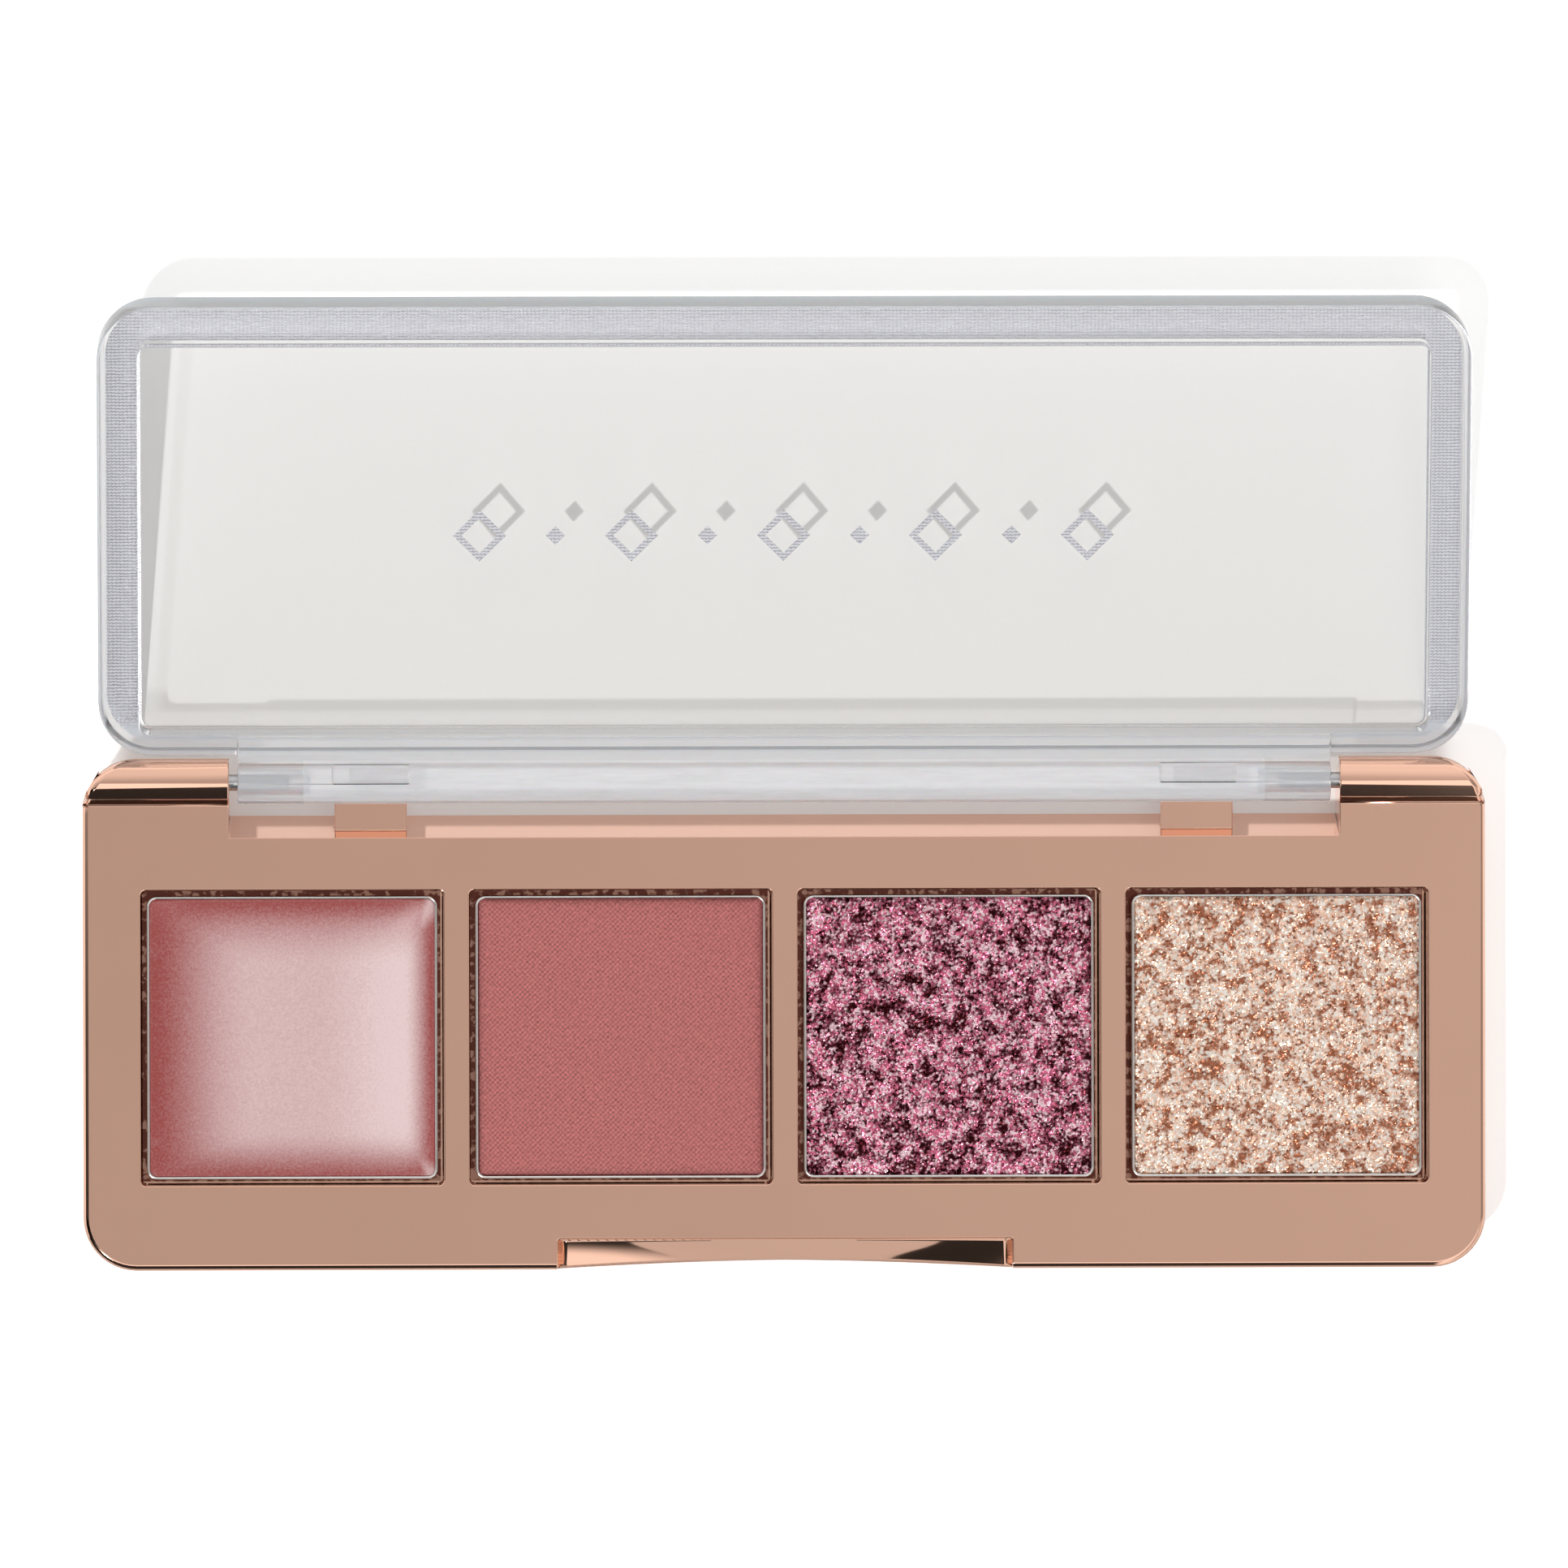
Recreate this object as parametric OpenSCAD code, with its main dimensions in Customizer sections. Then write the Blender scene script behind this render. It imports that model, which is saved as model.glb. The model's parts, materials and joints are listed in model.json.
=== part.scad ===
// Four-pan eyeshadow palette: a mirror-finish base tray with press-formed tin pans,
// and a clear lid shell that turns on two short steel pins.
// The frame: origin at the centre of the underside, +X along the palette's length,
// +Y towards the hinge, +Z up. The lid is drawn shut and then turned open.

/* [Base tray] */
// Length of the base
base_w = 95; // [75:0.5:130]
// Depth of the base, front wall to hinge knuckles
base_d = 34.6; // [28:0.1:60]
// Height of the deck above the table
deck_h = 4.8; // [4:0.1:9]
// Plan radius of the base's corners
base_corner_r = 3.6; // [2.5:0.1:6]
// How far the side walls lean in towards the table
wall_lean = 1.1; // [0.4:0.1:1.6]
// Rounding of the deck's outer edge
deck_edge_r = 0.4; // [0.2:0.05:0.6]
// Rounding of the bottom edge
foot_edge_r = 0.45; // [0.2:0.05:0.6]

/* [Wells and pans] */
// Deck left beside the end wells
side_border = 3.9; // [3:0.1:8]
// Deck left in front of the wells
front_border = 5.75; // [4.5:0.05:10]
// Deck left between the wells and the hinge axis
hinge_border = 7.3; // [6:0.1:12]
// Rib between two wells
rib_w = 1.74; // [1:0.02:4]
// Corner radius of a well
well_corner_r = 0.35; // [0.2:0.05:1.5]
// Thickness of the floor under a pan
floor_t = 0.7; // [0.5:0.05:1.5]
// Gap around a pan in its well
pan_gap = 0.4; // [0.1:0.05:0.8]
// How far a pan's rim sits below the deck
pan_drop = 0.35; // [0.1:0.05:0.8]
// Thickness of the tinplate
tin_t = 0.2; // [0.15:0.05:0.4]
// Outer corner radius of a pan
pan_corner_r = 0.7; // [0.5:0.05:2]
// Thickness of the glue under a pan
glue_t = 0.15; // [0.1:0.05:0.3]
// Bare margin of the pan's floor around its glue
glue_margin = 3.2; // [1:0.1:5]
// How far the pressed cake stops below the rim
cake_drop = 0.1; // [0:0.05:0.5]

/* [Bottom cover] */
// Thickness of the cover
cover_t = 0.8; // [0.5:0.05:1.5]
// Rim of the base left around the cover
cover_rim = 1.3; // [1:0.1:3]
// Side gap around the cover
cover_gap = 0.05; // [0.02:0.01:0.2]
// Corner radius of the cover
cover_corner_r = 2; // [1:0.1:4]

/* [Thumb scoop] */
// Length of the scoop
scoop_w = 30.8; // [15:0.2:40]
// How far the scoop runs back into the deck
scoop_back = 2.05; // [1:0.05:3]
// Height at which the scoop's slope meets the front wall
scoop_foot_h = 1.6; // [1:0.1:3]
// How far the front wall bows in across the scoop
scoop_bow = 0.6; // [0.2:0.05:1.2]

/* [Hinge] */
// Radius of the raised knuckles at the back corners
knuckle_r = 1.57; // [1.3:0.01:2.2]
// Height of the deck above the hinge axis
axis_drop = 0.4; // [0.2:0.05:0.8]
// Length of each knuckle
knuckle_l = 9.9; // [7:0.1:14]
// Distance from the hinge axis to the top of the recess wall
recess_top_y = 3.75; // [3.6:0.05:5]
// Distance from the hinge axis to the foot of the recess wall
recess_foot_y = 2.3; // [1.9:0.05:3.2]
// Radius of the lid's barrel
barrel_r = 1.45; // [1.2:0.01:1.5]
// Gap at each end of the barrel
barrel_end_gap = 0.6; // [0.2:0.05:1]
// Radius of a hinge pin
pin_r = 0.55; // [0.4:0.01:0.7]
// Radial clearance of a pin in the barrel
pin_clear = 0.05; // [0.02:0.01:0.1]
// Length of a hinge pin
pin_l = 12.9; // [11:0.1:18]
// How far the pin's head end stops inside the knuckle
pin_sink = 1.1; // [0.8:0.1:2]
// Room past the pin's end in the barrel's bore
pin_end_gap = 1.4; // [0.2:0.1:2]

/* [Snap lugs] */
// Distance of each lug from the middle
lug_x = 28; // [15:0.5:34]
// Length of a lug along the hinge
lug_w = 4.9; // [3:0.1:8]
// Gap between a lug and the barrel
lug_gap = 0.18; // [0.1:0.02:0.4]
// Height of the lug's top below the hinge axis
lug_top_drop = 1.1; // [1:0.05:1.5]
// Thickness of a lug
lug_t = 0.9; // [0.6:0.05:1.5]
// Length of a pocket in the barrel
pocket_w = 5.2; // [3.3:0.1:8.5]
// Width of a pocket round the barrel
pocket_d = 1.3; // [0.8:0.05:1.6]
// Depth of a pocket
pocket_deep = 0.4; // [0.2:0.05:0.5]
// Where a pocket faces on the shut lid, from +Y round over the top
pocket_turn = 232; // [225:1:240]

/* [Lid] */
// Angle of the lid in this model, 0 is shut
lid_open = 168; // [0:1:168]
// How far the lid stops short of the base at each end
lid_side_inset = 1.1; // [0:0.1:2]
// How far the lid's front edge passes the base's front edge
lid_front_over = -0.35; // [-1:0.05:1]
// Gap between the lid's back edge and the knuckles
knuckle_gap = 0.13; // [0.1:0.01:0.6]
// Gap between the shut lid and the deck
lid_seat_gap = 0.05; // [0.02:0.01:0.2]
// How far the lid's face stands above the axis past the axis height
lid_face_extra = 0.1; // [0:0.05:0.5]
// Thickness of the lid's clear face plate
plate_t = 1.5; // [1:0.1:2]
// Thickness of the lid's side and front rims
rim_t = 2.8; // [1.5:0.1:3.5]
// Thickness of the lid's back rim
back_rim_t = 1.5; // [1.2:0.1:3]
// Plan radius of the lid's corners
lid_corner_r = 3.75; // [2.5:0.05:5]
// Corner radius of the lid's hollow
hollow_corner_r = 0.7; // [0.4:0.05:2]
// Rounding of the lid's face edge
lid_edge_r = 0.5; // [0.2:0.05:0.8]
// Rounding of the lid's seat edge
lid_seat_edge_r = 0.15; // [0.05:0.05:0.3]
// How far the web under the back rim reaches below the axis
web_drop = 0.35; // [0.1:0.05:0.4]
// Height of the web above the axis
web_rise = 1.25; // [0.8:0.05:1.3]

/* [Foil print] */
// Thickness of the stamped foil
foil_t = 0.05; // [0.03:0.01:0.1]
// Bare edge of the lid's face outside the foil border
foil_inset = 0.55; // [0.5:0.05:1.5]
// Width of the foil strip along the hinge side
foil_back_w = 0.3; // [0.2:0.05:1]
// Length of the row of ornaments
ornament_w = 44.8; // [20:0.2:60]
// Height of an open lozenge
lozenge_h = 3.6; // [2:0.1:6]
// Line width of an open lozenge
lozenge_line = 0.42; // [0.3:0.02:1]
// Height of a small diamond between two lozenges
diamond_h = 1.3; // [0.6:0.1:3]
// Number of open lozenges
lozenges = 5; // [3:1:8]
// Distance from the hinge axis to the row of ornaments
ornament_y = 16.2; // [12:0.1:22]

/* [Hidden] */
$fn = 48;

over = 1;          // how far a cutting shape runs past the face that it opens
arc_steps = 6;     // straight steps in a rounded edge
knuckle_root = 0.2; // how far the knuckles reach below the hinge axis
side_angle = 14;   // lean of the base's side at its roundings
well_count = 4;

// hinge line
hinge_y = base_d / 2 - knuckle_r;
axis_h = deck_h - axis_drop;
recess_w = base_w - 2 * knuckle_l;
barrel_l = recess_w - 2 * barrel_end_gap;
bore_r = pin_r + pin_clear;
pin_x = recess_w / 2 + knuckle_l - pin_sink - pin_l;
bore_l = barrel_l / 2 - pin_x + pin_end_gap;
lug_tip_y = sqrt(pow(barrel_r + lug_gap, 2) - pow(lug_top_drop, 2));
lug_root = 0.3;    // how far a lug runs into the leaning wall behind it

// wells, pans and cakes
well_w = (base_w - 2 * side_border - (well_count - 1) * rib_w) / well_count;
well_pitch = well_w + rib_w;
well_front_y = front_border - base_d / 2;
well_back_y = hinge_y - hinge_border;
well_d = well_back_y - well_front_y;
well_y = (well_back_y + well_front_y) / 2;
floor_h = cover_t + floor_t;
pan_w = well_w - 2 * pan_gap;
pan_d = well_d - 2 * pan_gap;
pan_foot_h = floor_h + glue_t;
pan_h = deck_h - pan_drop - pan_foot_h;

// bottom cover, kept clear of the hinge recess
cover_w = base_w - 2 * (wall_lean + cover_rim);
cover_front_y = -base_d / 2 + wall_lean + cover_rim;
recess_lean = (recess_top_y - recess_foot_y) / deck_h;
cover_back_y = hinge_y - recess_foot_y - recess_lean * cover_t - cover_rim;
cover_d = cover_back_y - cover_front_y;
cover_y = (cover_back_y + cover_front_y) / 2;

// thumb scoop: a flat slope, and a front wall that bows in
scoop_top_y = -base_d / 2 + scoop_back;
scoop_arc_r = (pow(scoop_w / 2, 2) + pow(scoop_bow, 2)) / (2 * scoop_bow);
scoop_bow_y = -base_d / 2 + scoop_bow;

// lid, in a frame with its origin on the hinge axis and the lid shut
lid_w = base_w - 2 * lid_side_inset;
lid_back_y = knuckle_r + knuckle_gap;
web_tongue = 1;    // where the web under the back rim stops short of the hinge axis
web_root = 0.1;    // how far the web runs into the back rim
lid_seat_h = axis_drop + lid_seat_gap;
lid_face_h = axis_h + lid_face_extra;
lid_front_y = -(hinge_y + base_d / 2 + lid_front_over);
lid_d = -lid_back_y - lid_front_y;
lid_mid_y = (lid_front_y - lid_back_y) / 2;
hollow_w = lid_w - 2 * rim_t;
hollow_front_y = lid_front_y + rim_t;
hollow_back_y = -lid_back_y - back_rim_t;
window_back_y = -lid_back_y - foil_inset - foil_back_w;

// points on an arc, from angle a0 to angle a1
function arc(centre, r, a0, a1) =
    [for (i = [0 : arc_steps]) let (a = a0 + (a1 - a0) * i / arc_steps)
        centre + r * [cos(a), sin(a)]];

// centre of well number i
function well_x(i) = (i - (well_count - 1) / 2) * well_pitch;

// flat rectangle with rounded corners
module rounded_rect(w, d, r) {
    square([w - 2 * r, d], center = true);
    square([w, d - 2 * r], center = true);
    for (x = [-1, 1], y = [-1, 1])
        translate([x * (w / 2 - r), y * (d / 2 - r)]) circle(r);
}

// upright block with rounded corners, from z0 to z1
module rounded_block(w, d, r, z0, z1) {
    translate([0, 0, z0]) linear_extrude(z1 - z0) rounded_rect(w, d, r);
}

// solid of rounded plan whose sides follow the child, a profile of (distance from the
// corner's centre, height) that spans z0 to z1
module profiled_block(w, d, r, z0, z1) {
    for (k = [0 : 3]) {
        reach = (k % 2 == 0 ? w : d) / 2 - r;
        run = (k % 2 == 0 ? d : w) - 2 * r;
        rotate([0, 0, 90 * k]) {
            translate([reach, 0, 0]) rotate([90, 0, 0])
                linear_extrude(run, center = true) children();
            translate([reach, run / 2, 0]) rotate_extrude(angle = 90) children();
        }
    }
    translate([r - w / 2, r - d / 2, z0]) cube([w - 2 * r, d - 2 * r, z1 - z0]);
}

// prism along X from a profile of (y, z) points
module prism_x(length, points) {
    translate([-length / 2, 0, 0]) rotate([90, 0, 90]) linear_extrude(length) polygon(points);
}

// the base's side: foot rounding, leaning wall, deck edge rounding
module base_side() {
    polygon(concat(
        [[0, 0]],
        arc([base_corner_r - wall_lean - foot_edge_r, foot_edge_r], foot_edge_r, -90, -side_angle),
        arc([base_corner_r - deck_edge_r, deck_h - deck_edge_r], deck_edge_r, -side_angle, 90),
        [[0, deck_h]]));
}

// raised half-round knuckles at both back corners, trimmed to the rounded plan
module knuckles() {
    intersection() {
        rounded_block(base_w, base_d, base_corner_r, axis_h - knuckle_root,
                      axis_h + knuckle_r + over);
        for (s = [-1, 1])
            translate([s * (recess_w + knuckle_l) / 2, hinge_y, axis_h])
                rotate([0, 90, 0]) cylinder(r = knuckle_r, h = knuckle_l, center = true);
    }
}

// the gap for the barrel, with a leaning front wall and open underneath
module hinge_recess() {
    prism_x(recess_w, [
        [hinge_y - recess_foot_y + recess_lean * over, -over],
        [hinge_y - recess_top_y - recess_lean * (knuckle_r + over), deck_h + knuckle_r + over],
        [base_d / 2 + over, deck_h + knuckle_r + over],
        [base_d / 2 + over, -over]]);
}

module scoop_cut() {
    intersection() {
        translate([-scoop_w / 2, -base_d / 2 - over, -over])
            cube([scoop_w, scoop_back + over, deck_h + 2 * over]);
        union() {
            prism_x(scoop_w, [
                [scoop_top_y, deck_h],
                [scoop_top_y, deck_h + over],
                [-base_d / 2 - over, deck_h + over],
                [-base_d / 2 - over, scoop_foot_h],
                [-base_d / 2, scoop_foot_h]]);
            translate([0, scoop_bow_y - scoop_arc_r, -over])
                cylinder(r = scoop_arc_r, h = deck_h + 2 * over);
        }
    }
}

// the pair of snap lugs that the barrel's pockets close over
module snap_lugs() {
    for (s = [-1, 1])
        translate([s * lug_x - lug_w / 2, hinge_y - recess_top_y + lug_root,
                   axis_h - lug_top_drop - lug_t])
            cube([lug_w, recess_top_y - lug_tip_y - lug_root, lug_t]);
}

module base_tray() {
    color([0.80, 0.60, 0.50])
    difference() {
        union() {
            difference() {
                union() {
                    profiled_block(base_w, base_d, base_corner_r, 0, deck_h) base_side();
                    knuckles();
                }
                hinge_recess();
            }
            snap_lugs();
        }
        for (i = [0 : well_count - 1])
            translate([well_x(i), well_y, 0])
                rounded_block(well_w, well_d, well_corner_r, floor_h, deck_h + over);
        scoop_cut();
        translate([0, cover_y, 0])
            rounded_block(cover_w + 2 * cover_gap, cover_d + 2 * cover_gap,
                          cover_corner_r + cover_gap, -over, cover_t);
        for (s = [-1, 1])
            translate([s * (recess_w + knuckle_l) / 2, hinge_y, axis_h])
                rotate([0, 90, 0]) cylinder(r = pin_r, h = knuckle_l + 2 * over, center = true);
    }
}

module bottom_cover() {
    color([0.76, 0.56, 0.46])
    translate([0, cover_y, 0]) rounded_block(cover_w, cover_d, cover_corner_r, 0, cover_t);
}

// a shallow tray of tinplate, open at the top
module pan(i) {
    color([0.82, 0.80, 0.80])
    translate([well_x(i), well_y, pan_foot_h])
    difference() {
        rounded_block(pan_w, pan_d, pan_corner_r, 0, pan_h);
        rounded_block(pan_w - 2 * tin_t, pan_d - 2 * tin_t, pan_corner_r - tin_t,
                      tin_t, pan_h + over);
    }
}

// the pressed or poured colour that fills a pan
module cake(i, shade) {
    color(shade)
    translate([well_x(i), well_y, pan_foot_h])
    rounded_block(pan_w - 2 * tin_t, pan_d - 2 * tin_t, pan_corner_r - tin_t,
                  tin_t, pan_h - cake_drop);
}

module glue(i) {
    color([0.93, 0.92, 0.86])
    translate([well_x(i), well_y, floor_h])
    rounded_block(pan_w - 2 * glue_margin, pan_d - 2 * glue_margin, pan_corner_r, 0, glue_t);
}

// turns what is drawn on the shut lid to where the open lid lies
module on_lid() {
    translate([0, hinge_y, axis_h]) rotate([-lid_open, 0, 0]) children();
}

// the lid's side: seat edge rounding, upright rim, face edge rounding
module lid_side() {
    polygon(concat(
        [[0, lid_seat_h]],
        arc([lid_corner_r - lid_seat_edge_r, lid_seat_h + lid_seat_edge_r],
            lid_seat_edge_r, -90, 0),
        arc([lid_corner_r - lid_edge_r, lid_face_h - lid_edge_r], lid_edge_r, 0, 90),
        [[0, lid_face_h]]));
}

module lid_hollow() {
    depth = hollow_back_y - hollow_front_y;
    translate([0, (hollow_back_y + hollow_front_y) / 2, 0])
        rounded_block(hollow_w, depth, hollow_corner_r, lid_seat_h - over, lid_face_h - plate_t);
}

// barrel and the web that joins it to the back rim
module barrel() {
    rotate([0, 90, 0]) cylinder(r = barrel_r, h = barrel_l, center = true);
    translate([-barrel_l / 2, -lid_back_y - web_root, -web_drop])
        cube([barrel_l, lid_back_y + web_root, web_drop + web_rise]);
    translate([-barrel_l / 2, hollow_back_y, -web_drop])
        cube([barrel_l, -hollow_back_y - web_tongue, web_drop + lid_seat_h + web_root]);
}

module barrel_cuts() {
    for (s = [-1, 1]) {
        translate([s * (barrel_l / 2 - bore_l / 2 + over / 2), 0, 0])
            rotate([0, 90, 0]) cylinder(r = bore_r, h = bore_l + over, center = true);
        rotate([pocket_turn, 0, 0])
            translate([s * lug_x, barrel_r - pocket_deep + over / 2, 0])
                cube([pocket_w, over, pocket_d], center = true);
    }
}

module lid() {
    color([0.92, 0.93, 0.95, 0.45])
    on_lid() difference() {
        union() {
            difference() {
                translate([0, lid_mid_y, 0])
                    profiled_block(lid_w, lid_d, lid_corner_r, lid_seat_h, lid_face_h) lid_side();
                lid_hollow();
            }
            barrel();
        }
        barrel_cuts();
    }
}

module foil_border() {
    window_d = window_back_y - hollow_front_y;
    color([0.80, 0.80, 0.86])
    on_lid() translate([0, 0, lid_face_h]) linear_extrude(foil_t) difference() {
        translate([0, lid_mid_y])
            rounded_rect(lid_w - 2 * foil_inset, lid_d - 2 * foil_inset,
                         lid_corner_r - foil_inset);
        translate([0, (window_back_y + hollow_front_y) / 2])
            rounded_rect(hollow_w, window_d, hollow_corner_r);
    }
}

// diamond of height h, as wide as it is high
module diamond(h) {
    polygon([[h / 2, 0], [0, h / 2], [-h / 2, 0], [0, -h / 2]]);
}

// a plain row of open lozenges with a small diamond between each two
module foil_ornament() {
    step = (ornament_w - lozenge_h) / (lozenges - 1);
    color([0.78, 0.78, 0.85])
    on_lid() translate([0, -ornament_y, lid_face_h]) linear_extrude(foil_t)
    for (i = [0 : lozenges - 1])
        translate([(i - (lozenges - 1) / 2) * step, 0]) {
            difference() {
                diamond(lozenge_h);
                diamond(lozenge_h - 2 * sqrt(2) * lozenge_line);
            }
            if (i < lozenges - 1) translate([step / 2, 0]) diamond(diamond_h);
        }
}

module hinge_pin(s) {
    color([0.75, 0.75, 0.77])
    translate([s * (pin_x + pin_l / 2), hinge_y, axis_h])
        rotate([0, 90, 0]) cylinder(r = pin_r, h = pin_l, center = true);
}

base_tray();
bottom_cover();
pan(0);  // pan_cream
pan(1);  // pan_matte
pan(2);  // pan_plum
pan(3);  // pan_champagne
cake(0, [0.74, 0.47, 0.46]);  // cake_cream
cake(1, [0.73, 0.40, 0.40]);  // cake_matte
cake(2, [0.56, 0.26, 0.37]);  // cake_plum
cake(3, [0.84, 0.68, 0.58]);  // cake_champagne
glue(0);  // glue_cream
glue(1);  // glue_matte
glue(2);  // glue_plum
glue(3);  // glue_champagne
lid();
foil_border();
foil_ornament();
hinge_pin(-1);  // hinge_pin_left
hinge_pin(1);  // hinge_pin_right
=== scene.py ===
"""Eyeshadow palette: finished surfaces, cakes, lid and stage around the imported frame."""

import json
import math

import bmesh
import bpy
from mathutils import Matrix, Vector, noise

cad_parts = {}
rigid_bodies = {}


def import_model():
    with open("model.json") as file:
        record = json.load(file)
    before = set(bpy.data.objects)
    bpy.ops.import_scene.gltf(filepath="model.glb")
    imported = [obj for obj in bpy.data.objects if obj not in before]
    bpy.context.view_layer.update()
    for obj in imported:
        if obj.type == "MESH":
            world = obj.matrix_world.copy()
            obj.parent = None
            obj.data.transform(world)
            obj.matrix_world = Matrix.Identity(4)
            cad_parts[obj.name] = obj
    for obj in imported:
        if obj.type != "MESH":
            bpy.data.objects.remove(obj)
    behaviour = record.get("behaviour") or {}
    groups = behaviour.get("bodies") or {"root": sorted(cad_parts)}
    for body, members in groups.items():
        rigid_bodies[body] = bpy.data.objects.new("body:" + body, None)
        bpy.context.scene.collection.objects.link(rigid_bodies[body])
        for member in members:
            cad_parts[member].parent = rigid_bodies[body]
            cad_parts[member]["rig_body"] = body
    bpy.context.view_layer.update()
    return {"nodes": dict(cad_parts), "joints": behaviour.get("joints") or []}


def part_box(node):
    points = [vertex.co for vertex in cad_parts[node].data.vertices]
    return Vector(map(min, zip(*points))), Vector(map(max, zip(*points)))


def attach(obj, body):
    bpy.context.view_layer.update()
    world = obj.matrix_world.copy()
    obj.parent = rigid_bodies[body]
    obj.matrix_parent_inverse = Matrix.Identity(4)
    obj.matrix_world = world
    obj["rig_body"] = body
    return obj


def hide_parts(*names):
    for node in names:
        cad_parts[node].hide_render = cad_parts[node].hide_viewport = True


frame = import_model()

bl_info = {
    "name": "Eyeshadow palette",
    "version": (1, 0, 0),
    "blender": (4, 5, 0),
    "location": "View3D > Sidebar > Palette",
    "description": "Adds a four-pan eyeshadow palette piece by piece, with its stage",
    "category": "Add Mesh",
}

MM = 0.001
SHARP = math.radians(32)
SHADES = ("cream", "matte", "plum", "champagne")
LEVEL = "level"  # mesh attribute: how strongly a cream's top is painted with sheen, or how high a powder stands
CAKE_CORNER = 0.5 * MM

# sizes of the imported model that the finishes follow
PAN_GAP = 0.4 * MM    # from a pan to its well's wall
DECK_H = 4.8 * MM
BARREL_R = 1.45 * MM
BORE_END = 32.1 * MM  # from the middle to the inner end of a pin's bore

# the hinge line and the direction that the lid's outer face looks in, lid open as packed
HINGE = Vector(frame["joints"][0]["pos_m"])
LID_TURN = math.radians(frame["joints"][0]["range_deg"][1])
LID_OUTWARD = Vector((0, math.sin(LID_TURN), math.cos(LID_TURN)))


# ---------------------------------------------------------------- settings


def length(name, description, default):
    """A length that a user may change, in metres."""
    return bpy.props.FloatProperty(name=name, description=description, default=default,
                                   min=0, precision=5, subtype="DISTANCE", unit="LENGTH")


def colour(name, description, default):
    """A linear colour that a user may change."""
    return bpy.props.FloatVectorProperty(name=name, description=description,
                                         default=default, size=3, min=0, max=1,
                                         subtype="COLOR")


def share(name, description, default):
    """A share from 0 to 1 that a user may change."""
    return bpy.props.FloatProperty(name=name, description=description, default=default,
                                   min=0, max=1, subtype="FACTOR")


def strength(name, description, default):
    """A brightness that a user may change."""
    return bpy.props.FloatProperty(name=name, description=description, default=default,
                                   min=0)


class PaletteCase(bpy.types.PropertyGroup):
    """Sizes and colours of the base, its cover, the pans and the pins."""

    gold: colour("Rose gold", "Colour of the metallised base", (0.90, 0.55, 0.41))
    gold_roughness: share("Base roughness", "Blur of the base's mirror finish", 0.07)
    edge: length("Edge rounding", "Rounding of the base's sharp edges", 0.09 * MM)
    knuckle_end: length("Knuckle end", "Rounding of the knuckles' outer ends", 0.5 * MM)
    ripple: length("Ripple", "Height of the moulding ripple in the mirror", 0.0012 * MM)
    # painted shade: the colour painted deep in the wells' gaps round the pans
    painted_well_shade: colour("Bare wells", "Colour deep in the wells", (0.24, 0.045, 0.020))
    cover: colour("Cover", "Colour of the bottom cover", (0.62, 0.36, 0.27))
    tin: colour("Tin", "Colour of the pans", (0.80, 0.79, 0.77))
    steel: colour("Steel", "Colour of the hinge pins", (0.62, 0.62, 0.63))
    glue: colour("Glue", "Colour of the glue under the pans", (0.82, 0.79, 0.68))


class PaletteCakes(bpy.types.PropertyGroup):
    """Sizes and colours of the four filled colours."""

    cream: colour("Cream", "Colour of the cream's edges", (0.33, 0.052, 0.047))
    # painted sheen: the pale colour painted where the cream's satin top would catch the light
    pearl_sheen: colour("Cream pearl", "Colour where the cream is most pearly",
                  (0.79, 0.60, 0.60))
    cream_dish: length("Cream dish", "Depth of the cream's dished middle", 0.95 * MM)
    matte: colour("Matte", "Colour of the matte powder", (0.45, 0.112, 0.104))
    weave_pitch: length("Weave pitch", "Pitch of the cloth mark in the powder", 0.34 * MM)
    weave_depth: length("Weave depth", "Depth of the cloth mark", 0.06 * MM)
    plum: colour("Plum", "Colour of the plum flakes", (0.72, 0.17, 0.28))
    # painted shade: the colour painted in the low pits between the plum flakes
    plum_pit_shade: colour("Plum pits", "Colour between the plum flakes", (0.03, 0.003, 0.004))
    # painted glint: the colour painted on high-lying plum flakes
    plum_glint: colour("Plum sparks", "Colour of the brightest plum flakes",
                       (1.0, 0.72, 0.78))
    champagne: colour("Champagne", "Colour of the pearl flakes", (0.95, 0.63, 0.47))
    # painted shade: the colour painted in the low pits between the pearl flakes
    champagne_pit_shade: colour("Champagne pits", "Colour between the pearl flakes",
                          (0.36, 0.115, 0.055))
    # painted glint: the colour painted on high-lying pearl flakes
    champagne_glint: colour("Champagne sparks", "Colour of the brightest pearl flakes",
                            (1.0, 0.90, 0.81))
    flake: length("Flake", "Width of a pressed flake", 0.16 * MM)
    crumb: length("Crumb", "Height of the broken surface of the glitters", 0.11 * MM)


class PaletteLid(bpy.types.PropertyGroup):
    """Sizes and colours of the clear lid and its foil."""

    clear: colour("Clear plastic", "Tint of the lid", (0.93, 0.929, 0.92))
    shade: colour("Lid shade", "Light that one wall of the lid lets through",
                  (0.925, 0.92, 0.915))
    milk: colour("Milky plastic", "Colour of the cloudy hinge barrel", (0.80, 0.79, 0.82))
    edge: length("Edge rounding", "Rounding of the lid's sharp edges", 0.12 * MM)
    foil: colour("Foil", "Colour of the stamped foil", (0.74, 0.745, 0.80))
    linen: length("Linen pitch", "Pitch of the foil's linen rows", 0.21 * MM)


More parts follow.
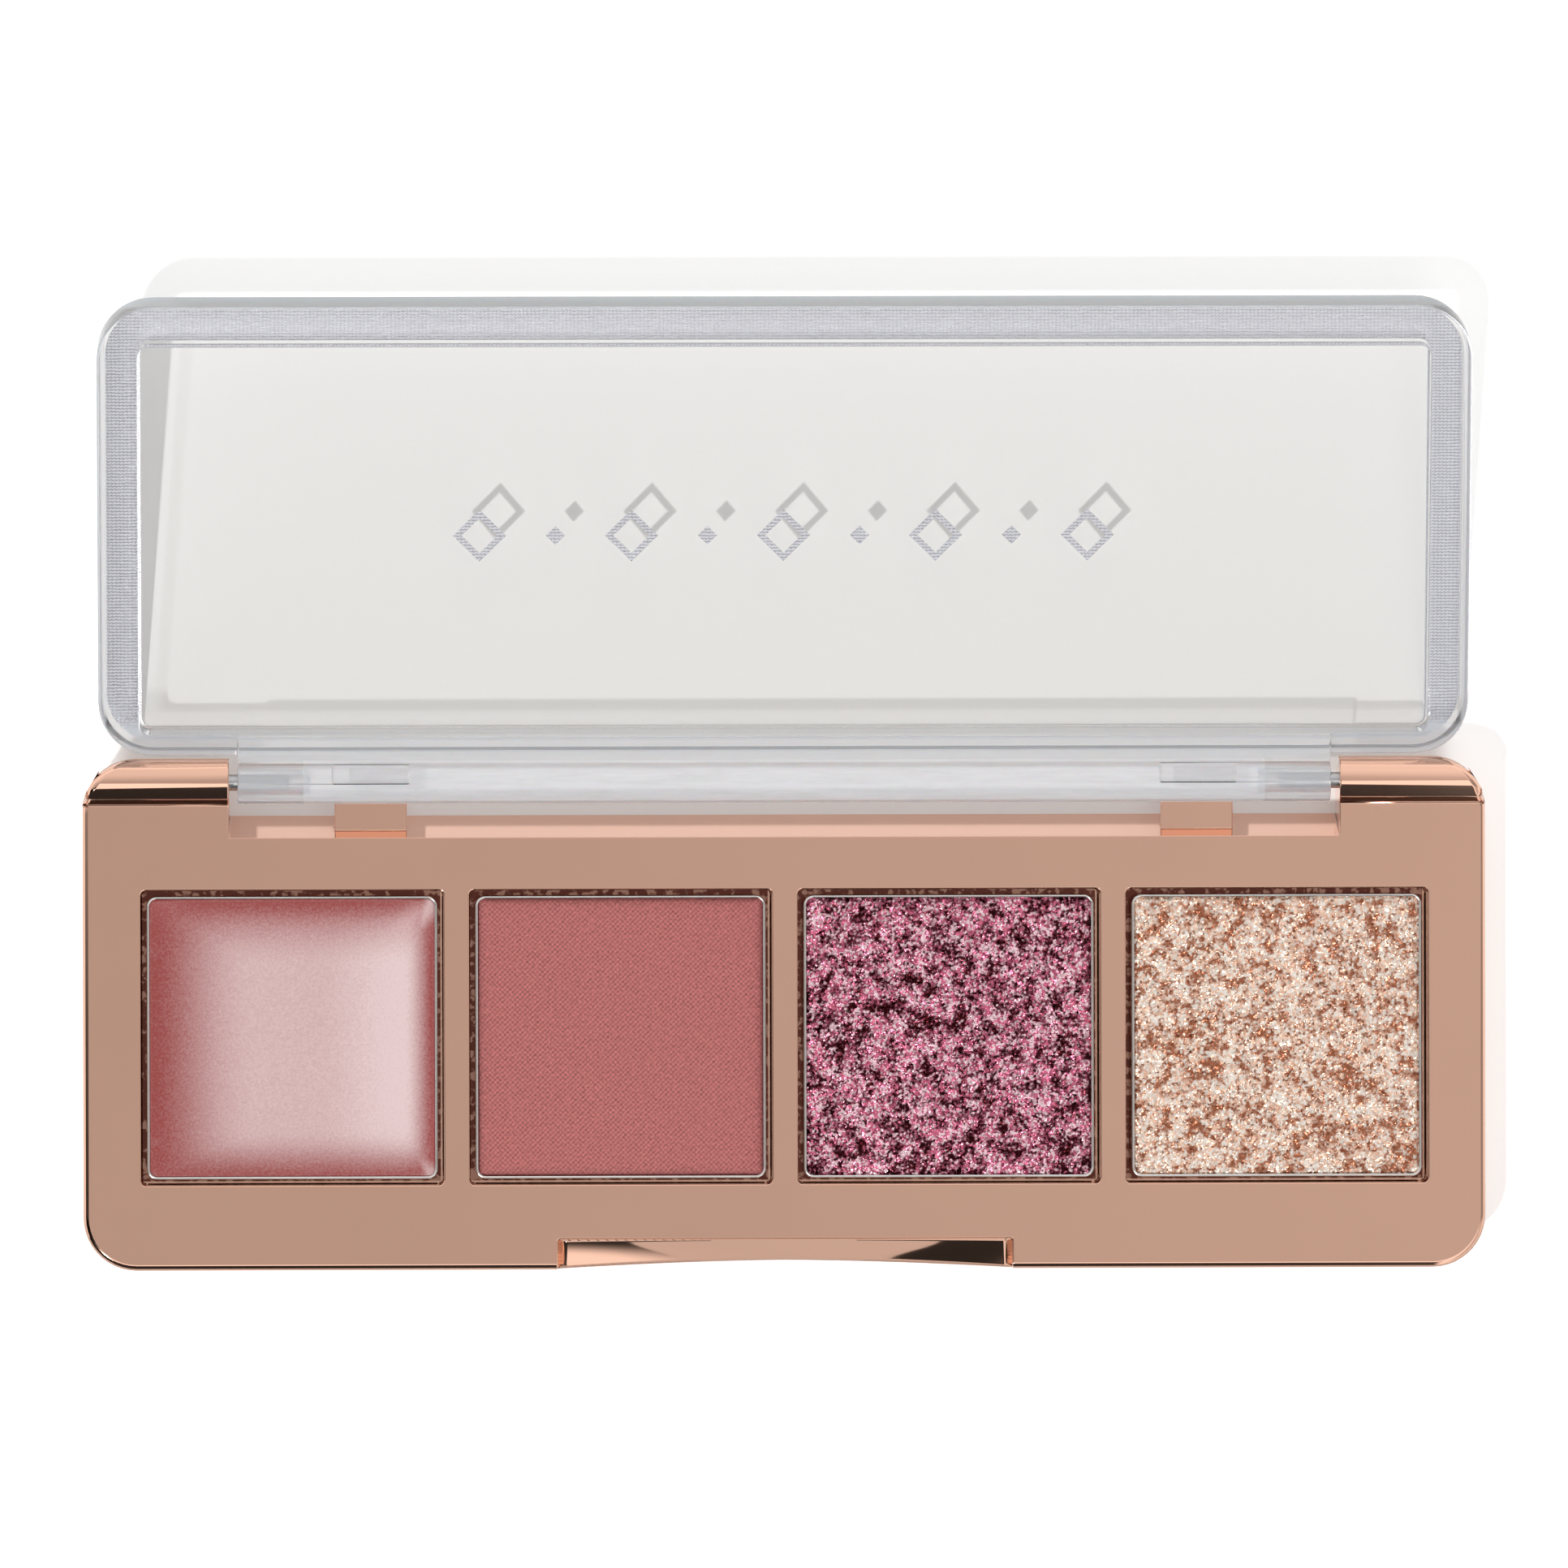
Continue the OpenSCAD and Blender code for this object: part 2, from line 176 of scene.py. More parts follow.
class PaletteStage(bpy.types.PropertyGroup):
    """The table, the sky panels and the key light."""

    table: colour("Table", "Colour of the table", (0.90, 0.90, 0.895))
    glow: share("Glow", "Light that the table gives by itself", 0.15)
    glow_seen: share("Seen glow", "The same, where nothing covers the table", 0.45)
    # painted shade: how much darker the table in front of the pans is painted in the base's
    # reflections
    reflected_table_shade: share("Calm", "How much darker the mirror finish shows the table", 0.40)
    key: strength("Key light", "Strength of the key light", 1.5)
    overhead: strength("Overhead", "Brightness straight above", 0.60)
    strip: strength("Strip", "Brightness of the strip in front of the zenith", 1.3)
    behind: strength("Behind", "Brightness of the panel behind", 1.0)
    front: strength("Front", "Brightness of the dark front", 0.03)
    horizon: strength("Horizon", "Brightness low down at the sides and behind", 1.2)


# ---------------------------------------------------------------- shader building


class Wire:
    """A shader output that takes part in sums, and adds the Math nodes they need."""

    def __init__(self, shader, node, socket):
        self.shader = shader
        self.node = node
        self.socket = socket

    def out(self, name):
        """Another output of the same node."""
        return Wire(self.shader, self.node, self.node.outputs[name])

    def maths(self, operation, *others):
        """A Math node on this value and others."""
        return self.shader.maths(operation, self, *others)

    def __add__(self, other):
        return self.maths("ADD", other)

    __radd__ = __add__

    def __mul__(self, other):
        return self.maths("MULTIPLY", other)

    __rmul__ = __mul__

    def __sub__(self, other):
        return self.maths("SUBTRACT", other)

    def __rsub__(self, other):
        return self.shader.maths("SUBTRACT", other, self)

    def __pow__(self, other):
        return self.maths("POWER", other)

    def rise(self, low, high):
        """0 below low, 1 above high, and smooth between them."""
        return self.shader.add("ShaderNodeMapRange", {"interpolation_type": "SMOOTHSTEP"},
                               {"Value": self, "From Min": low, "From Max": high})


class Shader:
    """A node tree being built."""

    def __init__(self, tree):
        self.tree = tree
        tree.nodes.clear()

    def add(self, kind, settings, sockets):
        """Adds a node: its settings are set first, then its sockets' values or links."""
        node = self.tree.nodes.new(kind)
        for name, setting in settings.items():
            setattr(node, name, setting)
        for name, value in sockets.items():
            self.feed(node.inputs[name], value)
        return Wire(self, node, node.outputs[0] if node.outputs else None)

    def feed(self, socket, value):
        """Links a wire to a socket, or sets a number, vector or colour on it."""
        if isinstance(value, Wire):
            self.tree.links.new(value.socket, socket)
        elif socket.type == "RGBA":
            socket.default_value = (*value, 1)
        else:
            socket.default_value = value

    def maths(self, operation, first, *others):
        """A Math node on wires and numbers."""
        inputs = dict(enumerate((first, *others)))
        return self.add("ShaderNodeMath", {"operation": operation}, inputs)

    def vector(self, operation, first, *others):
        """A Vector Math node."""
        inputs = dict(enumerate((first, *others)))
        return self.add("ShaderNodeVectorMath", {"operation": operation}, inputs)

    def mix(self, share_of_b, a, b):
        """A colour between a and b."""
        made = self.add("ShaderNodeMix", {"data_type": "RGBA"}, {0: share_of_b, 6: a, 7: b})
        return Wire(self, made.node, made.node.outputs[2])

    def place(self):
        """The point on the piece, which rides with it."""
        return self.add("ShaderNodeTexCoord", {}, {}).out("Object")

    def apart(self, vector):
        """The three values of a vector."""
        made = self.add("ShaderNodeSeparateXYZ", {}, {0: vector})
        return made.out("X"), made.out("Y"), made.out("Z")

    def together(self, x, y, z):
        """A vector of three values."""
        return self.add("ShaderNodeCombineXYZ", {}, {"X": x, "Y": y, "Z": z})

    def level(self):
        """The level that a fill's mesh carries at each point."""
        return self.add("ShaderNodeAttribute", {"attribute_name": LEVEL}, {}).out("Fac")

    def within(self, value, low, high):
        """1 between low and high, else 0."""
        return self.maths("GREATER_THAN", value, low) * self.maths("LESS_THAN", value, high)

    def mottle(self, place, size, detail=2.0):
        """Cloudy noise from 0 to 1 with features about size across."""
        return self.add("ShaderNodeTexNoise", {},
                        {"Vector": place, "Scale": 1 / size, "Detail": detail})

    def bump(self, height, depth):
        """A normal from a height of 0 to 1 that stands depth metres high."""
        return self.add("ShaderNodeBump", {}, {"Height": height, "Distance": depth})

    def surface(self, sockets):
        """A Principled surface."""
        return self.add("ShaderNodeBsdfPrincipled", {}, sockets)

    def finish(self, surface):
        """Ends the tree with the surface."""
        self.add("ShaderNodeOutputMaterial", {}, {"Surface": surface})


def material(name):
    """A new material and the shader that builds it."""
    made = bpy.data.materials.new(name)
    made.use_nodes = True
    return made, Shader(made.node_tree)


def mirror_rose_gold(case):
    """Vacuum-metallised rose gold: a mirror with a faint moulding ripple and haze.

    The wells are painted darker inside, as painted shade in the narrow gaps round the pans,
    except in a few streaks and along their right and front walls, where it is left off.
    """
    past_wall = 0.04 * MM
    darkest_z, shade_top_z = 1.6 * MM, 3.7 * MM
    gap = Vector((1, 1, 0)) * (PAN_GAP + past_wall)
    well_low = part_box("pan_" + SHADES[0])[0] - gap
    well_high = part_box("pan_" + SHADES[-1])[1] + gap
    made, s = material("mirror_rose_gold")
    place = s.place()
    haze = s.mottle(place, 9 * MM, 3)
    ripple = s.mottle(place, 2.6 * MM, 1)
    darker = tuple(0.955 * c for c in case.gold)
    x, y, z = s.apart(place)
    inside = s.within(x, well_low.x, well_high.x) * s.within(y, well_low.y, well_high.y)
    # where the painted shade is left off: beside the front wall and right of each pan
    unshaded_walls = s.within(y, well_low.y, well_low.y + 0.6 * PAN_GAP)
    for shade in SHADES:
        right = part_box("pan_" + shade)[1].x
        unshaded_walls = unshaded_walls + s.within(x, right + 0.5 * PAN_GAP, right + 1.5 * PAN_GAP)
    streaks = s.mottle(place, 0.45 * MM, 3).rise(0.50, 0.60)
    shade_lifted = (0.8 * unshaded_walls + 0.5 * streaks).maths("MINIMUM", 0.9)
    # painted shade deep in the wells, fading out up towards the deck
    painted_well_shade = inside * (1 - z.rise(darkest_z, shade_top_z)) * (1 - shade_lifted)
    s.finish(s.surface({
        "Base Color": s.mix(painted_well_shade, s.mix(haze, darker, case.gold), case.painted_well_shade),
        "Metallic": 1 - 0.6 * painted_well_shade,
        "Roughness": case.gold_roughness + 0.03 * haze,
        "Normal": s.bump(ripple, case.ripple),
    }))
    return made


def satin_cover(case):
    """Satin moulding with a fine spark grain."""
    made, s = material("satin_cover")
    place = s.place()
    grain = s.mottle(place, 0.12 * MM, 3)
    cloud = s.mottle(place, 6 * MM)
    darker = tuple(0.88 * c for c in case.cover)
    s.finish(s.surface({
        "Base Color": s.mix(cloud, darker, case.cover),
        "Metallic": 0.85,
        "Roughness": 0.34 + 0.1 * grain,
        "Normal": s.bump(grain, 0.006 * MM),
    }))
    return made


def bright_tin(case):
    """Tinplate with fine rolling lines and handling haze."""
    made, s = material("bright_tin")
    x, y, z = s.apart(s.place())
    lines = s.mottle(s.together(x * 0.06, y, z), 0.05 * MM, 2)
    haze = s.mottle(s.place(), 3 * MM)
    darker = tuple(0.85 * c for c in case.tin)
    s.finish(s.surface({
        "Base Color": s.mix(haze, darker, case.tin),
        "Metallic": 1,
        "Roughness": 0.14 + 0.12 * lines,
        "Normal": s.bump(lines, 0.002 * MM),
    }))
    return made


def drawn_steel(case):
    """Drawn wire with faint lines round it."""
    made, s = material("drawn_steel")
    x, y, z = s.apart(s.place())
    lines = s.mottle(s.together(x * 0.1, y, z), 0.06 * MM, 3)
    darker = tuple(0.75 * c for c in case.steel)
    s.finish(s.surface({
        "Base Color": s.mix(lines, darker, case.steel),
        "Metallic": 1,
        "Roughness": 0.2 + 0.15 * lines,
        "Normal": s.bump(lines, 0.003 * MM),
    }))
    return made


def hot_melt(case):
    """Cured hot-melt glue, slightly uneven."""
    made, s = material("hot_melt")
    cloud = s.mottle(s.place(), 1.6 * MM)
    darker = tuple(0.85 * c for c in case.glue)
    s.finish(s.surface({
        "Base Color": s.mix(cloud, darker, case.glue),
        "Roughness": 0.35 + 0.2 * cloud,
        "Normal": s.bump(cloud, 0.03 * MM),
        "Subsurface Weight": 0.2,
    }))
    return made


def satin_cream(cakes):
    """Poured cream: a satin skin, painted paler as painted sheen where its mesh's level says
    so, with a fine grain.
    """
    made, s = material("satin_cream")
    place = s.place()
    grain = s.mottle(place, 0.15 * MM, 3)
    cloud = s.mottle(place, 5 * MM)
    # painted sheen from the mesh's level, broken by grain and cloud
    pearl_sheen = s.level() + 0.5 * (grain - 0.5) + 0.05 * (cloud - 0.5)
    s.finish(s.surface({
        "Base Color": s.mix(pearl_sheen, cakes.cream, cakes.pearl_sheen),
        "Roughness": 0.38 + 0.06 * grain,
        "IOR": 1.6,
        "Normal": s.bump(grain, 0.004 * MM),
    }))
    return made


def pressed_matte(cakes):
    """Pressed powder: dry, slightly dusty, painted paler on the high threads of the cloth mark
    as a painted highlight and darker between them as painted shade.
    """
    made, s = material("pressed_matte")
    place = s.place()
    powder = s.mottle(place, 0.15 * MM, 3)
    cloud = s.mottle(place, 4 * MM)
    # lit and shaded copies of the powder's colour: painted highlight on the high threads,
    # painted shade in the low ones
    lit = tuple(min(1, 1.55 * c + 0.05) for c in cakes.matte)
    shaded = tuple(0.34 * c for c in cakes.matte)
    painted_lighting = s.level() * 0.8 + (powder - 0.5) * 1.1 + 0.12
    lit_and_shaded = s.mix(painted_lighting, shaded, lit)
    dusty = tuple(min(1, 0.9 * c + 0.02) for c in cakes.matte)
    s.finish(s.surface({
        "Base Color": s.mix(cloud * 0.35, lit_and_shaded, dusty),
        "Roughness": 0.62 + 0.1 * powder,
        "Normal": s.bump(powder, 0.012 * MM),
        "Sheen Weight": 0.15,
        "Sheen Roughness": 0.4,
    }))
    return made


def pressed_flakes(name, pit_shade, body, glint, flake, metal, pitted):
    """Pressed glitter: each flake lies at its own small tilt, with pits between them.

    The higher pitted is, the more of the surface lies in the pits, painted dark as painted
    shade.
    Some flakes that lie high enough are painted near white as painted glints.
    """
    made, s = material(name)
    place = s.place()
    cells = s.add("ShaderNodeTexVoronoi", {}, {"Vector": place, "Scale": 1 / flake})
    random = cells.out("Color")
    first, second, _ = s.apart(random)
    cloud = s.mottle(place, 0.9 * MM, 3)
    # how high each point lies: low places take the pit colour as painted shade, partly at
    # random
    lie = (s.level() + first * 0.35 + cloud * 1.3).rise(pitted, pitted + 0.6)
    base = s.mix(lie, pit_shade, body)
    centred = s.vector("SUBTRACT", random, (0.5, 0.5, 0.5))
    tilt = s.vector("MULTIPLY", centred, (0.95, 0.95, 0.95))
    face = s.add("ShaderNodeNewGeometry", {}, {}).out("Normal")
    s.finish(s.surface({
        # painted glints: random flakes that lie high are painted near white
        "Base Color": s.mix(second.rise(0.45, 0.7) * lie.rise(0.1, 0.8), base, glint),
        "Metallic": metal,
        "Roughness": 0.26,
        "Normal": s.vector("NORMALIZE", s.vector("ADD", face, tilt)),
    }))
    return made


def clear_plastic(lid):
    """Clear moulded plastic that lets lamps through.

    It is cloudy in the hinge barrel, less so at the pins' bores, and a little hazy in
    the web beside the barrel and in the lid's front and side walls.
    """
    made, s = material("clear_plastic")
    x, y, z = s.apart(s.place())
    glass = s.surface({"Base Color": lid.clear, "Roughness": 0.0, "IOR": 1.49,
                       "Transmission Weight": 1})
    path = s.add("ShaderNodeLightPath", {}, {})
    lamp = path.out("Is Shadow Ray").maths("MAXIMUM", path.out("Is Diffuse Ray"))
    thin = s.add("ShaderNodeBsdfTransparent", {}, {"Color": lid.shade})
    clear = s.add("ShaderNodeMixShader", {}, {0: lamp, 1: glass, 2: thin})
    across = ((y - HINGE.y) ** 2 + (z - HINGE.z) ** 2) ** 0.5
    barrel = 1 - across.rise(BARREL_R + 0.05 * MM, BARREL_R + 0.45 * MM)
    web = (1 - across.rise(BARREL_R + 2.15 * MM, BARREL_R + 2.95 * MM)) * 0.32
    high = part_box("lid")[1]
    side = x.maths("ABSOLUTE")
    front_wall = y.rise(high.y - 1.0 * MM, high.y - 0.6 * MM)
    side_wall = side.rise(high.x - 0.7 * MM, high.x - 0.4 * MM)
    walls = front_wall.maths("MAXIMUM", side_wall) * 0.35
    bore = side.rise(BORE_END + 0.3 * MM, BORE_END + 0.7 * MM)
    streaks = s.mottle(s.together(x * 0.1, y, z), 0.5 * MM, 3)
    milk = s.surface({"Base Color": lid.milk, "Roughness": 0.3,
                      "Subsurface Weight": 0.3})
    cloudy = barrel * (0.32 + 0.4 * streaks) * (1 - 0.75 * bore)
    haze = cloudy.maths("MAXIMUM", web.maths("MAXIMUM", walls))
    s.finish(s.add("ShaderNodeMixShader", {}, {0: haze, 1: clear, 2: milk}))
    return made


def linen_foil(lid):
    """Hot-stamped silver foil with an embossed linen of fine rows."""
    made, s = material("linen_foil")
    place = s.place()
    x, y, _ = s.apart(place)
    wander = s.mottle(place, 0.7 * MM, 2)
    turn = 2 * math.pi / lid.linen
    rows = (y * turn + wander * 3).maths("SINE")
    picks = (x * turn * 0.8 + wander * 4).maths("SINE")
    knit = 0.5 + 0.3 * rows + 0.2 * picks * rows
    worn = s.mottle(place, 0.25 * MM, 3)
    darker = tuple(0.78 * c for c in lid.foil)
    s.finish(s.surface({
        "Base Color": s.mix(knit * 0.6 + worn * 0.4, darker, lid.foil),
        "Metallic": 1,
        "Roughness": 0.18 + 0.08 * worn,
        "Normal": s.bump(knit, 0.012 * MM),
    }))
    return made


def table_top(stage):
    """A plain pale light table.

    The camera sees more of its glow where the lid doesn't cover it, and the table in front
    of the pans is painted darker, as painted shade, where the base's mirror finish reflects
    it.
    """
    made, s = material("table_top")
    place = s.place()
    x, y, _ = s.apart(place)
    low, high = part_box("lid")
    edge, fade = 0.6 * MM, 2.4 * MM  # how far inside the lid's outline the cover ends
    covered = ((1 - x.maths("ABSOLUTE").rise(high.x - fade, high.x - edge))
               * y.rise(low.y - 4 * MM, low.y - 3 * MM)
               * (1 - y.rise(high.y - fade, high.y - edge)))
    in_front = 1 - y.rise(-20 * MM, -10 * MM)
    cloud = s.mottle(place, 0.2)
    darker = tuple(0.985 * c for c in stage.table)
    path = s.add("ShaderNodeLightPath", {}, {})
    # painted shade on the table in front of the pans, seen only in the base's mirror
    # reflections
    painted_reflected_shade = (path.out("Is Glossy Ray") * (1 - path.out("Is Transmission Ray"))
                * in_front * stage.reflected_table_shade)
    dim = tuple(stage.glow * c for c in stage.table)
    lit = tuple(stage.glow_seen * c for c in stage.table)
    s.finish(s.surface({
        "Base Color": s.mix(painted_reflected_shade, s.mix(cloud, darker, stage.table), (0, 0, 0)),
        "Roughness": 0.7,
        "Emission Color": s.mix(path.out("Is Camera Ray") * (1 - covered), dim, lit),
        "Emission Strength": 1,
    }))
    return made


# ---------------------------------------------------------------- mesh building


def new_mesh(name, points, faces, smooth=True):
    """A mesh from points and faces."""
    mesh = bpy.data.meshes.new(name)
    mesh.from_pydata(points, [], faces)
    mesh.validate()
    mesh.polygons.foreach_set("use_smooth", [smooth] * len(mesh.polygons))
    return mesh


def hand_over(name, mesh, finish, node):
    """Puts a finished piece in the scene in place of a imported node, riding with its body."""
    piece = bpy.data.objects.new(name, mesh)
    bpy.context.scene.collection.objects.link(piece)
    mesh.materials.clear()
    mesh.materials.append(finish)
    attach(piece, frame["nodes"][node]["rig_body"])
    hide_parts(node)
    return piece


def rounded_loop(width, depth, radius, z, centre, corner_steps=8):
    """Points round a rectangle with rounded corners, anticlockwise."""
    points = []
    for k, (sx, sy) in enumerate(((1, 1), (-1, 1), (-1, -1), (1, -1))):
        for i in range(corner_steps + 1):
            a = math.pi / 2 * (k + i / corner_steps)
            points.append((centre.x + sx * (width / 2 - radius) + radius * math.cos(a),
                           centre.y + sy * (depth / 2 - radius) + radius * math.sin(a), z))
    return points


def skin_loops(loops):
    """Points and faces of a closed skin over equal loops, with both ends capped."""
    n = len(loops[0])
    points = [p for loop in loops for p in loop]
    faces = [(k * n + i, k * n + (i + 1) % n, (k + 1) * n + (i + 1) % n, (k + 1) * n + i)
             for k in range(len(loops) - 1) for i in range(n)]
    faces.append(tuple(reversed(range(n))))
    faces.append(tuple(range((len(loops) - 1) * n, len(loops) * n)))
    return points, faces


def quarter(centre_in, centre_z, radius, start, end, steps=5):
    """(inset, z) points on an arc; 0 degrees points outward and 90 points up."""
    turn = [math.radians(start + (end - start) * i / steps) for i in range(steps + 1)]
    return [(centre_in - radius * math.cos(a), centre_z + radius * math.sin(a)) for a in turn]


def stacked(name, low, high, corner, profile):
    """A solid of rounded plan that follows a profile of (inset, z) points."""
    centre = (low + high) / 2
    size = high - low
    least = 0.03 * MM
    loops = [rounded_loop(size.x - 2 * inset, size.y - 2 * inset,
                          max(corner - inset, least), z, centre)
             for inset, z in profile]
    return new_mesh(name, *skin_loops(loops))


def weigh_normals(piece):
    """Keeps wide faces flat beside small rounded ones."""
    piece.modifiers.new("weighted", "WEIGHTED_NORMAL").weight = 100


def softened(node, name, soft_place=None, soft_share=1.0):
    """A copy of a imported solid, its flat faces joined and its sharp edges marked.

    Edges where soft_place(point) holds are rounded in full, and others by soft_share.
    """
    bm = bmesh.new()
    bm.from_mesh(frame["nodes"][node].data)
    bmesh.ops.remove_doubles(bm, verts=bm.verts, dist=0.5e-6)
    bmesh.ops.dissolve_limit(bm, angle_limit=math.radians(0.3), verts=bm.verts,
                             edges=bm.edges, use_dissolve_boundaries=False)
    weight = bm.edges.layers.float.new("bevel_weight_edge")
    for edge in bm.edges:
        if edge.calc_face_angle(0) > SHARP:
            soft = soft_place is None or all(soft_place(v.co) for v in edge.verts)
            edge[weight] = 1.0 if soft else soft_share
    mesh = bpy.data.meshes.new(name)
    bm.to_mesh(mesh)
    bm.free()
    mesh.polygons.foreach_set("use_smooth", [True] * len(mesh.polygons))
    return mesh


def round_edges(piece, edge, segments):
    """Rounds the piece's sharp edges."""
    bevel = piece.modifiers.new("rounded", "BEVEL")
    bevel.width = edge
    bevel.segments = segments
    bevel.limit_method = "WEIGHT"
    bevel.use_clamp_overlap = False
    bevel.miter_outer = "MITER_ARC"
    weigh_normals(piece)


def cake_mesh(name, node, steps, height, smooth=True):
    """A filled colour: a dense top that follows height(x, y, edge), on a plain skirt.

    x and y run from the middle, and edge is the distance to the nearest side. height
    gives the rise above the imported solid's top and the level to keep on the mesh.
    """
    low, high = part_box(node)
    centre = (low + high) / 2
    half = (high - low) / 2
    points = []
    levels = []
    for j in range(steps + 1):
        for i in range(steps + 1):
            x = half.x * (2 * i / steps - 1)
            y = half.y * (2 * j / steps - 1)
            x, y = round_corner(x, y, half, CAKE_CORNER)
            z, level = height(x, y, min(half.x - abs(x), half.y - abs(y)))
            points.append((centre.x + x, centre.y + y, high.z + z))
            levels.append(level)
    wide = steps + 1
    faces = [(j * wide + i, j * wide + i + 1, (j + 1) * wide + i + 1, (j + 1) * wide + i)
             for j in range(steps) for i in range(steps)]
    rim = (list(range(wide))
           + [j * wide + steps for j in range(1, wide)]
           + [steps * wide + i for i in range(steps - 1, -1, -1)]
           + [j * wide for j in range(steps - 1, 0, -1)])
    first = len(points)
    points += [(points[k][0], points[k][1], low.z) for k in rim]
    levels += [0.0] * len(rim)
    n = len(rim)
    faces += [(rim[(k + 1) % n], rim[k], first + k, first + (k + 1) % n) for k in range(n)]
    faces.append(tuple(reversed(range(first, first + n))))
    mesh = new_mesh(name, points, faces, smooth)
    mesh.attributes.new(LEVEL, "FLOAT", "POINT").data.foreach_set("value", levels)
    return mesh


def round_corner(x, y, half, corner):
    """Moves a point of a square grid so that the grid's corners are round."""
    a = (abs(x) - (half.x - corner)) / corner
    b = (abs(y) - (half.y - corner)) / corner
    if a <= 0 or b <= 0:
        return x, y
    a, b = a * math.sqrt(1 - b * b / 2), b * math.sqrt(1 - a * a / 2)
    return (math.copysign(half.x - corner + a * corner, x),
            math.copysign(half.y - corner + b * corner, y))


def scoop_skin(front):
    """The thumb scoop's face: straight along the deck, and deepest at its middle.

    Its foot runs along the leaning front wall in an arc, and its ends lie nearly flat.
    """
    half = 15.39 * MM                # half of its width, just inside its end walls
    top_y = front + 2.05 * MM        # where the scoop meets the deck
    wall_foot = front + 1.2075 * MM  # where the front wall would meet the table
    wall_lean = 0.278                # how much that wall leans forward with height
    foot = 2.42 * MM                 # height of the skin's foot in the middle
    foot_climb = 1.73 * MM           # how much higher the foot is at the ends
    low_z = 2.2 * MM                 # underside of the skin, inside the base
    sag = 0.05 * MM                  # hollow of the face
    proud = 0.004 * MM               # how far the skin stands out of the front wall
    steps, rows = 48, 8

    def wall_y(z):
        """Where the skin's front lies at a height."""
        return wall_foot - wall_lean * z - proud

    columns = []
    for i in range(steps + 1):
        x = half * (2 * i / steps - 1)
        foot_z = foot + foot_climb * abs(x / half) ** 1.6
        fall_y, fall_z = wall_y(foot_z) - top_y, foot_z - DECK_H
        column = []
        for k in range(rows + 1):
            v = k / rows
            hollow = sag * math.sin(math.pi * v)
            column.append((x, top_y + fall_y * v + hollow, DECK_H + fall_z * v - hollow))
        column.append((x, wall_y(low_z), low_z))
        column.append((x, top_y, low_z))
        columns.append(column)
    return skin_loops(columns)


def spun_along_x(name, low, high, chamfer, steps=32):
    """A round bar along X between two corners, with chamfered ends."""
    centre = (low + high) / 2
    radius = (high.z - low.z) / 2
    loops = []
    for x, r in ((low.x, radius - chamfer), (low.x + chamfer, radius),
                 (high.x - chamfer, radius), (high.x, radius - chamfer)):
        loops.append([(x, centre.y + r * math.cos(2 * math.pi * i / steps),
                       centre.z + r * math.sin(2 * math.pi * i / steps))
                      for i in range(steps)])
    return new_mesh(name, *skin_loops(loops))


# ---------------------------------------------------------------- the fills' surfaces


def eased(value, low, high):
    """0 below low, 1 above high, and smooth between them."""
    t = min(max((value - low) / (high - low), 0), 1)
    return t * t * (3 - 2 * t)


def cream_height(cakes, half):
    """The cream's top: poured, so its middle is dished and its edges climb the tin.

    Its level is painted sheen: the top is painted palest towards the right, least at the left
    and rear, with a paler painted highlight as a mitre running into each of the right corners.
    """
    sunk = 0.03 * MM
    mitre_width = 0.22

    def height(x, y, edge):
        u, v = x / half.x, y / half.y
        fall = (1 - abs(u) ** 6) * (1 - abs(v) ** 6)
        wobble = 0.012 * MM * noise.noise(Vector((x, y, 3)) / (2.5 * MM))
        lip = 0.04 * MM * math.exp(-edge / (0.25 * MM))
        # painted sheen: how far each side's darker border reaches in, as a share of half the
        # fill
        left, right = eased(u, -1.02, -0.25), 1 - eased(u, 0.78, 1.0)
        rear, front = 1 - eased(v, 0.50, 1.02), eased(v, -1.04, -0.66)
        sheen = 0.73 + 0.27 * eased(u, 0.15, 0.75)
        pearl_sheen = (min(left, right, rear, front) + left * right * rear * front) / 2 * sheen
        # a paler painted highlight along a mitre into each right corner
        for side in (rear, front):
            mitre = math.exp(-((right - side) / mitre_width) ** 2)
            pearl_sheen = max(pearl_sheen, 0.6 * mitre * (1 - min(right, side)))
        return wobble - sunk - cakes.cream_dish * fall - lip, pearl_sheen
    return height


def matte_height(cakes):
    """The matte powder's top: a cloth mark of small bumps, softer at the edges."""
    turn = 2 * math.pi / cakes.weave_pitch
    grit_width = 0.16 * MM
    rounding = 0.22 * MM

    def height(x, y, edge):
        weave = 0.5 + 0.5 * math.cos(turn * x) * math.cos(turn * y)
        grit = noise.noise(Vector((x, y, 7)) / grit_width)
        round_off = math.exp(-edge / rounding)
        level = weave * (1 - round_off) + 0.18 * grit
        return cakes.weave_depth * (level - 1) - rounding * round_off, level
    return height


def glitter_height(cakes, seed, coarse):
    """A glitter's top: broken lumps of pressed flakes with pits between them."""
    lump_width = coarse * 1.4 * MM
    crumb_width = coarse * 0.24 * MM
    grit_width = 0.09 * MM
    rounding = 0.2 * MM

    def height(x, y, edge):
        place = Vector((x, y, seed))
        lumps = noise.fractal(place / lump_width, 0.9, 2.1, 3)
        crumbs = 1 - noise.voronoi(place / crumb_width)[0][0]
        grit = noise.noise(Vector((x, y, seed + 5)) / grit_width)
        round_off = math.exp(-edge / rounding)
        level = 0.5 + 0.22 * lumps + 0.55 * (crumbs - 0.62) + 0.16 * grit
        return cakes.crumb * (level - 0.9) - rounding * round_off, level
    return height


# ---------------------------------------------------------------- operators


